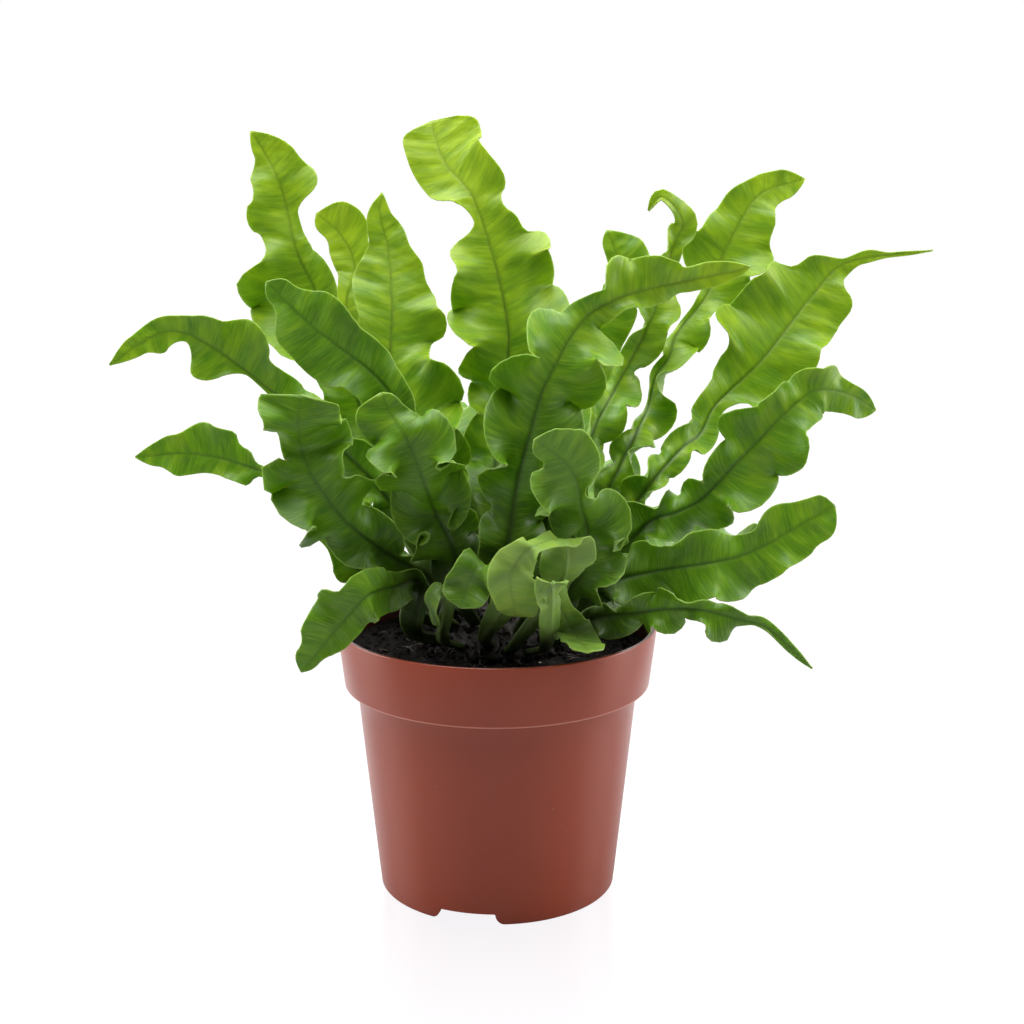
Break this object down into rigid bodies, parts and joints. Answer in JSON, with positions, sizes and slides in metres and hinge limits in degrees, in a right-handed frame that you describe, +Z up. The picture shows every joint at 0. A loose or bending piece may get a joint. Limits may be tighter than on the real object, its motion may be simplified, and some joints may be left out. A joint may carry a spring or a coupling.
{
  "type": "potted fern",
  "caption": "Young bird's-nest fern with broad, crisped and wavy glossy fronds, growing from a crown in a round tapered terracotta-coloured plastic nursery pot filled with dark soil.",
  "frame": {"origin": "on the ground under the middle of the plant's spread, so the pot's axis stands a little to the left of it and in front of it", "axes": "+Z up; +X to the viewer's right along the widest spread of the fronds; +Y away from the viewer, so the pictured side faces -Y"},
  "size_m": [0.3044, 0.2006, 0.2883],
  "materials": {
    "pot": "satin",
    "soil": "matte",
    "crown": "matte",
    "frond": "gloss"
  },
  "bodies": {
    "root": {"pot": "pot", "soil": "soil", "crown": "crown", "frond_front_low": "frond", "frond_front_fold": "frond", "frond_front_left_curl": "frond", "frond_front_right_low": "frond", "frond_front_right_curl": "frond", "frond_front_tall": "frond", "frond_front_left_tall": "frond", "frond_left_low_drooping": "frond", "frond_left_front_broad": "frond", "frond_right_lowest": "frond", "frond_right_low": "frond", "frond_left_middle_dark": "frond", "frond_left_far_low": "frond", "frond_left_short": "frond", "frond_right_broad": "frond", "frond_left_far_high": "frond", "frond_right_long": "frond", "frond_right_edge_on": "frond", "frond_right_tall": "frond", "frond_centre_hidden": "frond", "frond_left_centre_tall": "frond", "frond_centre_tallest": "frond", "frond_left_narrow": "frond", "frond_left_tall": "frond", "frond_back_right_side": "frond", "frond_back_right_low": "frond", "frond_back_left_low": "frond", "frond_back_centre": "frond", "frond_back_right": "frond", "frond_back_left": "frond", "frond_back_centre_right": "frond"}
  },
  "joints": []
}
